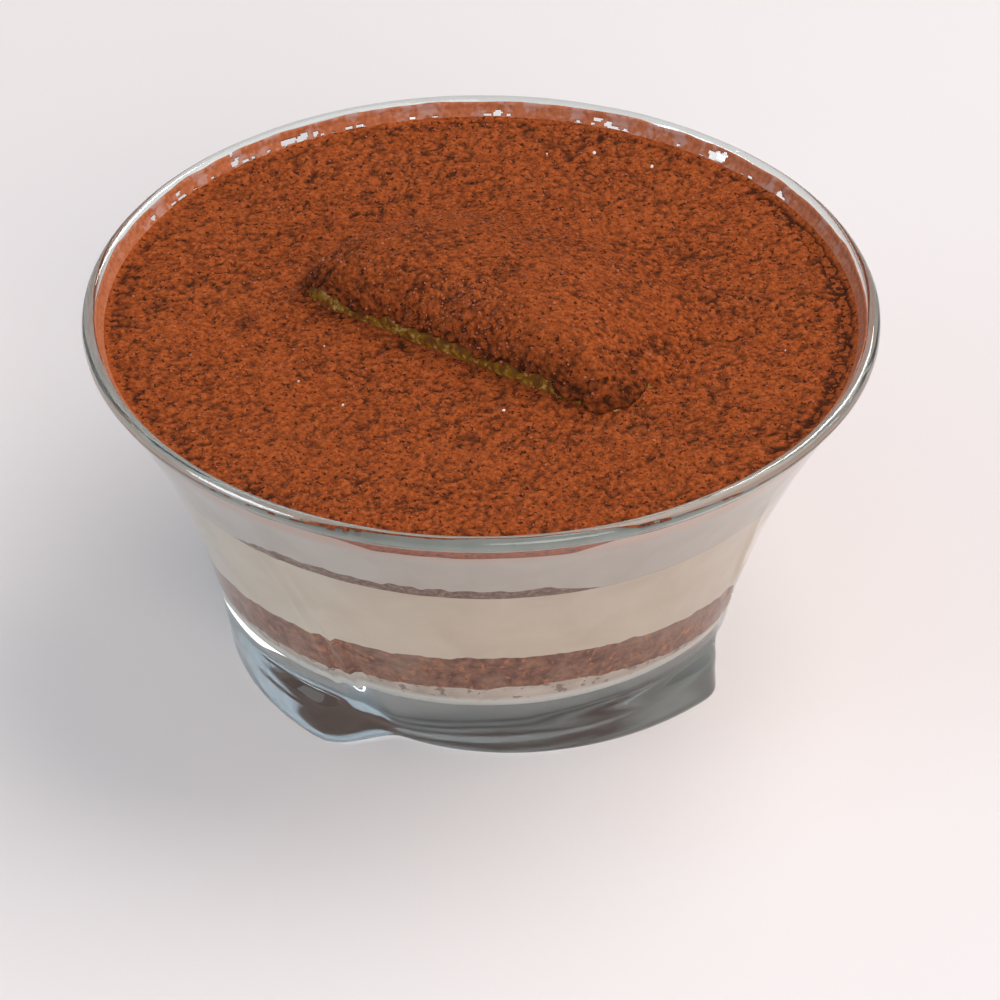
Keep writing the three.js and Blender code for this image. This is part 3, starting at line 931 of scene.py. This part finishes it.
def scattered(name, centres, sizes, material, seed):
    """Many small rough lumps in one mesh."""
    golden = (1 + 5 ** 0.5) / 2
    corners = []
    for one in (-1, 1):
        for two in (-golden, golden):
            corners += [(0, one, two), (one, two, 0), (two, 0, one)]
    corners = np.array(corners) / math.hypot(1, golden)
    sides = []
    for i in range(12):
        for j in range(i + 1, 12):
            for k in range(j + 1, 12):
                trio = corners[[i, j, k]]
                if max(np.linalg.norm(trio - np.roll(trio, 1, axis=0), axis=1)) < 1.2:
                    outward = np.dot(np.cross(trio[1] - trio[0], trio[2] - trio[0]), trio[0]) > 0
                    sides.append((i, j, k) if outward else (i, k, j))
    rng = np.random.default_rng(seed)
    count = len(centres)
    lumps = corners * rng.uniform(0.65, 1.2, (count, 12, 1))
    lumps = lumps * rng.uniform(0.6, 1.3, (count, 1, 3)) * np.asarray(sizes)[:, None, None]
    points = (np.asarray(centres)[:, None, :] + lumps).reshape(-1, 3)
    faces = (np.array(sides)[None] + 12 * np.arange(count)[:, None, None]).reshape(-1, 3)
    return make_piece(name, points, faces.tolist(), material, smooth=False)


def grain_finish(name, one, other, roughness):
    """Single grains in two tones."""
    finish, tree, shader, where = new_finish(name, roughness)
    tone = noise_node(tree, where, 1.1, detail=2)
    tree.links.new(ramp_node(tree, tone, [(0.38, one), (0.62, other)]), shader.inputs["Base Color"])
    vary_roughness(tree, shader, tone, roughness, roughness * 0.8)
    add_bump(tree, shader, noise_node(tree, where, 0.2, detail=2), 0.5, 0.05)
    return finish


def random_places(furthest, count):
    """Places spread evenly over a disc."""
    out = furthest * np.sqrt(rng.uniform(0, 1, count))
    turn = rng.uniform(-math.pi, math.pi, count)
    return out * np.cos(turn), out * np.sin(turn)


rng = np.random.default_rng(91)
grain_x, grain_y = random_places(bed_rim - 1.2, BED_GRAINS)
sizes = 0.09 + 0.16 * rng.uniform(0, 1, BED_GRAINS) ** 3
centres = np.stack([grain_x, grain_y, bed_height(grain_x, grain_y) + sizes * 0.45], axis=-1)
bed_grain = grain_finish("cocoa_grain", (0.20, 0.04, 0.01), (0.46, 0.115, 0.032), 0.9)
bed_grains = scattered("bed_grains", centres, sizes, bed_grain, 92)

surface = coat_surface(*random_places(0.97, COAT_GRAINS))[0]
sizes = 0.10 + 0.20 * rng.uniform(0, 1, COAT_GRAINS) ** 3
centres = placed(surface[:, 0], surface[:, 1], surface[:, 2] + sizes * 0.4)
on_cocoa = surface[:, 2] > GRAINS_FROM
coat_grain = grain_finish("cocoa_grain_coarse", (0.18, 0.036, 0.009), (0.46, 0.115, 0.032), 0.9)
coat_grains = scattered("coat_grains", centres[on_cocoa], sizes[on_cocoa], coat_grain, 93)

speck_x, speck_y = random_places(bed_rim - 2, CREAM_SPECKS)
sizes = rng.uniform(0.14, 0.34, CREAM_SPECKS)
centres = np.stack([speck_x, speck_y, bed_height(speck_x, speck_y) + 0.15], axis=-1)
dried_cream = grain_finish("dried_cream_speck", (0.80, 0.66, 0.56), (0.9, 0.84, 0.78), 0.6)
specks = scattered("cream_specks", centres, sizes, dried_cream, 94)

# ---------------------------------------------------------------- table, light and camera
# A pale matt table top, a large soft window light at the back right, a weak cool light at
# the left and one in front, two small lights that only glint on the glass, and the camera
# looking down on the front of the bowl.

CAMERA_LIFT = math.radians(35.6)
CAMERA_DISTANCE = 1.222
LIGHT_AIM = 0.03

table_mesh = bpy.data.meshes.new("table_top")
table_mesh.from_pydata([(-3, -3, 0), (3, -3, 0), (3, 3, 0), (-3, 3, 0)], [], [(0, 1, 2, 3)])
table_top = bpy.data.objects.new("table_top", table_mesh)
table_top.location.z = -0.0001
bpy.context.scene.collection.objects.link(table_top)
table_finish, tree, shader, where = new_finish("pale_table", 0.7)
table_tone = noise_node(tree, where, 300, detail=3)
colour = ramp_node(tree, table_tone, [(0.3, (0.84, 0.77, 0.75)), (0.7, (0.87, 0.80, 0.78))])
tree.links.new(colour, shader.inputs["Base Color"])
table_mesh.materials.append(table_finish)


def soft_light(name, place, size, power, colour):
    """A round lamp of that diameter in metres and power in watts, turned to the bowl."""
    lamp = bpy.data.lights.new(name, "AREA")
    lamp.shape = "DISK"
    lamp.size = size
    lamp.energy = power
    lamp.color = colour
    light = bpy.data.objects.new(name, lamp)
    light.location = place
    light.rotation_mode = "QUATERNION"
    towards_bowl = Vector((-place[0], -place[1], LIGHT_AIM - place[2]))
    light.rotation_quaternion = towards_bowl.to_track_quat("-Z", "Y")
    bpy.context.scene.collection.objects.link(light)
    return light


soft_light("window_right", (0.82, 0.38, 1.20), 1.6, 17.0, (1.0, 0.95, 0.90))
soft_light("fill_left", (-1.1, -0.35, 0.60), 0.9, 3.0, (0.74, 0.92, 0.95))
soft_light("fill_front", (0.45, -1.3, 0.9), 0.9, 10.0, (1.0, 0.96, 0.93))
glint = soft_light("glass_glint_left", (-0.9, -0.25, 0.75), 0.6, 14.0, (0.72, 0.86, 1.0))
glint.visible_diffuse = False
glint = soft_light("glass_glint_back", (0.35, 0.9, 0.9), 0.4, 6.0, (1.0, 0.98, 0.95))
glint.visible_diffuse = False

world = bpy.data.worlds.new("room")
world.use_nodes = True
room_light = world.node_tree.nodes["Background"].inputs
room_light["Color"].default_value = (0.42, 0.47, 0.55, 1)
room_light["Strength"].default_value = 0.75
bpy.context.scene.world = world
bpy.context.scene.view_settings.view_transform = "Standard"

camera = bpy.data.objects.new("camera", bpy.data.cameras.new("camera"))
camera.data.lens = 288
camera.data.sensor_width = 36
camera.data.clip_start = 0.05
aim = Vector((0.00283, 0, 0.0201))
back = Vector((0, -math.cos(CAMERA_LIFT), math.sin(CAMERA_LIFT)))
camera.location = aim + back * CAMERA_DISTANCE
camera.rotation_mode = "QUATERNION"
camera.rotation_quaternion = (-back).to_track_quat("-Z", "Y")
bpy.context.scene.collection.objects.link(camera)
bpy.context.scene.camera = camera
